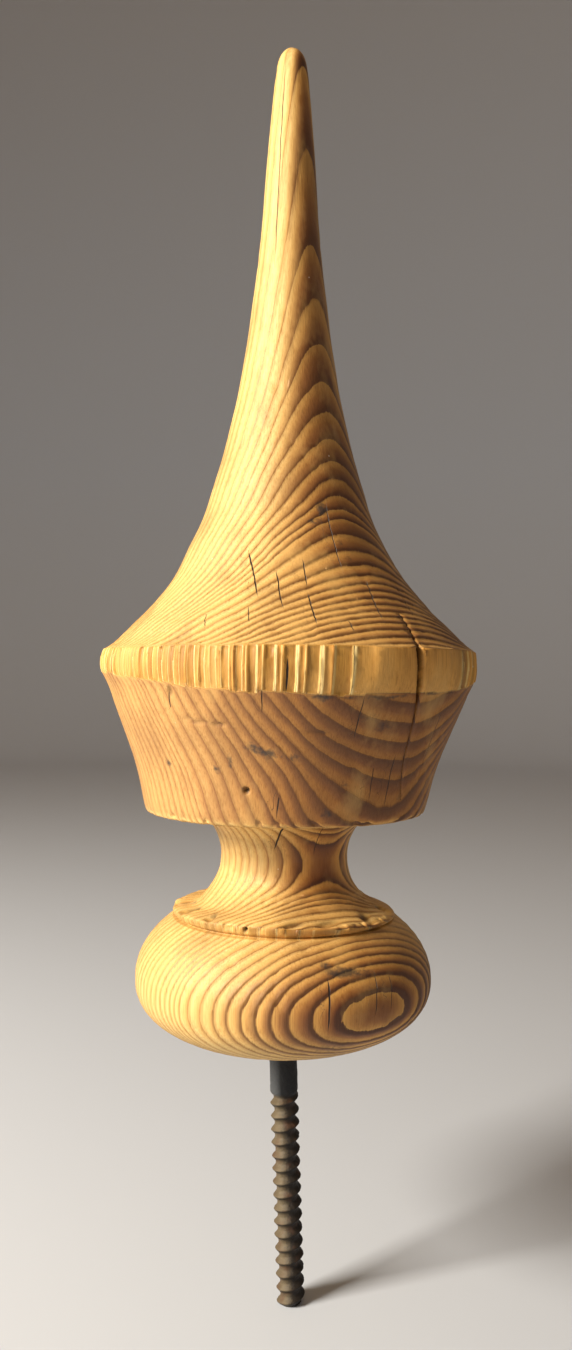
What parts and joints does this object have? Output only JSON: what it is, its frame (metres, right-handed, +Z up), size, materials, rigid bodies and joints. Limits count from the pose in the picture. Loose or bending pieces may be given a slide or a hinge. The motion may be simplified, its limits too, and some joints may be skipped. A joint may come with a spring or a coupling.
{
  "type": "post finial",
  "caption": "Turned softwood post finial: tall concave spire on a flared collar and tapered cup, waisted neck and rounded foot, on a steel hanger bolt.",
  "frame": {"origin": "centre of the wood's flat seat, where the finial meets the top of its post, on the turning axis", "axes": "+Z up along the turning axis to the tip, -Z down the bolt into the post, -Y towards the worn front of the collar"},
  "size_m": [0.1308, 0.129, 0.4381],
  "materials": {
    "weathered_pine": "old oiled pine, growth rings raised by weathering, pale fresh wood on the collar",
    "rusty_steel": "bare steel with dry brown rust and dust in the thread, nearly black on the plain shank"
  },
  "bodies": {
    "root": {"finial_body": "weathered_pine", "hanger_bolt": "rusty_steel"}
  },
  "joints": []
}
